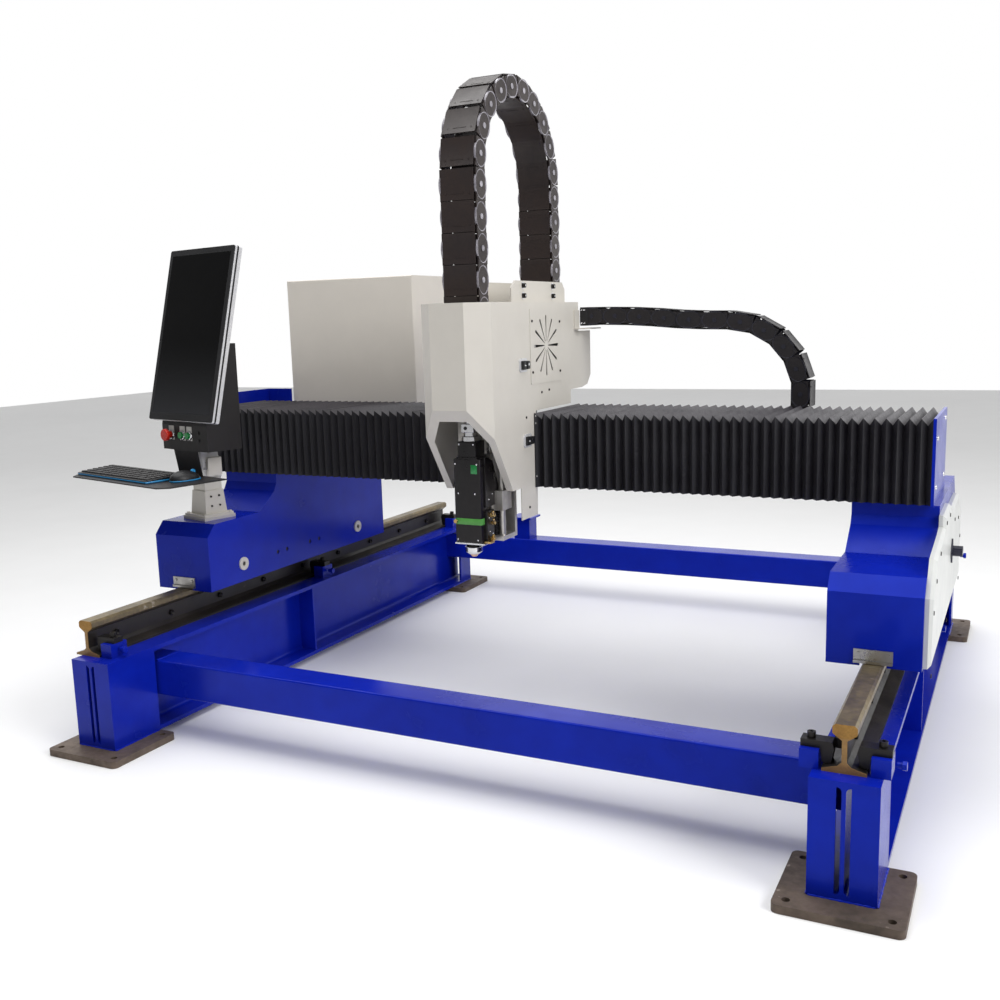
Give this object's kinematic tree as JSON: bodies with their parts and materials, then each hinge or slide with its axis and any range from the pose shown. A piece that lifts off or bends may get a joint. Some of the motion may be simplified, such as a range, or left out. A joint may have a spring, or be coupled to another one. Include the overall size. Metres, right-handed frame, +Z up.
{
  "type": "fiber laser cutting machine",
  "caption": "Gantry laser cutter: a crossbeam rolls on raised crane rails and carries a cutting head that travels along it and moves up and down.",
  "frame": {"origin": "bottom centre of the bounding box, on the floor", "axes": "+X to the operator's right along the crossbeam, +Y away from the operator along the rails, +Z up"},
  "size_m": [2.7234, 2.364, 1.941],
  "materials": {
    "blue_paint": "glossy",
    "dark_plate": "worn satin",
    "rail_steel": "worn, rust brown",
    "bare_steel": "machined",
    "black_steel": "blackened",
    "cast_alloy": "cast",
    "grey_paint": "satin",
    "cream_paint": "satin",
    "bellows_cloth": "coated cloth",
    "chain_plastic": "matte",
    "black_plastic": "matte",
    "screen_glass": "gloss",
    "red_plastic": "gloss",
    "green_plastic": "gloss",
    "copper": "machined",
    "motor_black": "satin"
  },
  "bodies": {
    "frame": {"left_beam": "blue_paint", "right_beam": "blue_paint", "beam_stiffeners": "blue_paint", "front_cross_tube": "blue_paint", "rear_cross_tube": "blue_paint", "floor_plates": "dark_plate", "left_rail": "rail_steel", "right_rail": "rail_steel", "clip_blocks": "blue_paint", "rail_clips": "black_steel", "clip_bolts": "black_steel", "track_racks": "bare_steel"},
    "gantry": {"left_carriage": "blue_paint", "right_carriage": "blue_paint", "rail_wipers": "bare_steel", "wheel_axles": "cream_paint", "drive_motors": "motor_black", "side_cover": "grey_paint", "crossbeam": "blue_paint", "x_guides": "bare_steel", "x_rack": "bare_steel", "left_bellows": "bellows_cloth", "right_bellows": "bellows_cloth", "cabinet": "cream_paint", "cabinet_bracket": "blue_paint", "chain_tray": "bare_steel", "x_chain_lower": "chain_plastic", "stand": "cream_paint"},
    "head_carriage": {"saddle": "bare_steel", "head_cover": "grey_paint", "vent_plate": "grey_paint", "cover_latches": "motor_black", "chain_brackets": "cream_paint", "head_motors": "motor_black", "z_guide": "cast_alloy", "z_screw": "bare_steel", "z_chain": "chain_plastic", "x_chain_upper": "chain_plastic"},
    "z_slide": {"slide_block": "cast_alloy", "laser_head": "cast_alloy", "nozzle": "copper"},
    "console": {"swivel_mount": "cast_alloy", "control_box": "black_steel", "monitor": "black_plastic", "screen": "screen_glass", "keyboard_tray": "black_steel", "keyboard": "black_plastic", "mouse": "black_plastic"},
    "cabinet_door": {"cabinet_door": "cream_paint"},
    "x_chain_bend": {"x_chain_bend": "chain_plastic"},
    "x_pinion": {"x_pinion": "bare_steel"},
    "left_pinion": {"left_pinion": "bare_steel"},
    "right_pinion": {"right_pinion": "bare_steel"},
    "front_left_wheel": {"front_left_wheel": "bare_steel"},
    "rear_left_wheel": {"rear_left_wheel": "bare_steel"},
    "front_right_wheel": {"front_right_wheel": "bare_steel"},
    "rear_right_wheel": {"rear_right_wheel": "bare_steel"},
    "estop_button": {"estop_button": "red_plastic"},
    "start_button": {"start_button": "green_plastic"},
    "stop_button": {"stop_button": "green_plastic"}
  },
  "joints": [
    {"name": "gantry_travel", "type": "slide", "parent": "frame", "child": "gantry", "axis": [0, 1, 0], "range_m": [-0.38, 0.62]},
    {"name": "x_travel", "type": "slide", "parent": "gantry", "child": "head_carriage", "axis": [1, 0, 0], "range_m": [-0.4, 0.86], "deforming": ["left_bellows", "right_bellows", "x_chain_upper", "x_chain_lower"]},
    {"name": "z_travel", "type": "slide", "parent": "head_carriage", "child": "z_slide", "axis": [0, 0, 1], "range_m": [-0.07, 0.1], "deforming": ["z_chain"]},
    {"name": "x_chain_roll", "type": "slide", "parent": "gantry", "child": "x_chain_bend", "axis": [1, 0, 0], "range_m": [-0.21, 0.44]},
    {"name": "x_pinion_spin", "type": "hinge", "parent": "head_carriage", "child": "x_pinion", "pos_m": [0.0877, -0.27, 0.8096], "axis": [0, 1, 0], "continuous": true},
    {"name": "left_pinion_spin", "type": "hinge", "parent": "gantry", "child": "left_pinion", "pos_m": [-1.02015, -0.142, 0.325], "axis": [0, 0, 1], "continuous": true},
    {"name": "right_pinion_spin", "type": "hinge", "parent": "gantry", "child": "right_pinion", "pos_m": [1.14385, -0.142, 0.325], "axis": [0, 0, 1], "continuous": true},
    {"name": "front_left_wheel_spin", "type": "hinge", "parent": "gantry", "child": "front_left_wheel", "pos_m": [-0.9623, -0.486, 0.445], "axis": [1, 0, 0], "continuous": true},
    {"name": "rear_left_wheel_spin", "type": "hinge", "parent": "gantry", "child": "rear_left_wheel", "pos_m": [-0.9623, 0.202, 0.445], "axis": [1, 0, 0], "continuous": true},
    {"name": "front_right_wheel_spin", "type": "hinge", "parent": "gantry", "child": "front_right_wheel", "pos_m": [1.2017, -0.486, 0.445], "axis": [1, 0, 0], "continuous": true},
    {"name": "rear_right_wheel_spin", "type": "hinge", "parent": "gantry", "child": "rear_right_wheel", "pos_m": [1.2017, 0.202, 0.445], "axis": [1, 0, 0], "continuous": true},
    {"name": "cabinet_door_swing", "type": "hinge", "parent": "gantry", "child": "cabinet_door", "pos_m": [-1.0233, 0.384, 1.07], "axis": [0, 0, 1], "range_deg": [0, 110]},
    {"name": "console_swivel", "type": "hinge", "parent": "gantry", "child": "console", "pos_m": [-0.9563, -0.516, 0.731], "axis": [0, 0, 1], "range_deg": [-25, 60]},
    {"name": "estop_press", "type": "slide", "parent": "console", "child": "estop_button", "axis": [0.2419, 0.9703, 0], "range_m": [0, 0.004], "stiffness_N_per_m": 1500, "springref_m": -0.001},
    {"name": "start_press", "type": "slide", "parent": "console", "child": "start_button", "axis": [0.2419, 0.9703, 0], "range_m": [0, 0.004], "stiffness_N_per_m": 1500, "springref_m": -0.001},
    {"name": "stop_press", "type": "slide", "parent": "console", "child": "stop_button", "axis": [0.2419, 0.9703, 0], "range_m": [0, 0.004], "stiffness_N_per_m": 1500, "springref_m": -0.001}
  ],
  "couplings": [
    {"joint": "x_chain_roll", "follows": "x_travel", "ratio": 0.5},
    {"joint": "x_pinion_spin", "follows": "x_travel", "rad_per_m": -33.333},
    {"joint": "left_pinion_spin", "follows": "gantry_travel", "rad_per_m": -33.333},
    {"joint": "right_pinion_spin", "follows": "gantry_travel", "rad_per_m": -33.333},
    {"joint": "front_left_wheel_spin", "follows": "gantry_travel", "rad_per_m": -18.518},
    {"joint": "rear_left_wheel_spin", "follows": "gantry_travel", "rad_per_m": -18.518},
    {"joint": "front_right_wheel_spin", "follows": "gantry_travel", "rad_per_m": -18.518},
    {"joint": "rear_right_wheel_spin", "follows": "gantry_travel", "rad_per_m": -18.518}
  ]
}
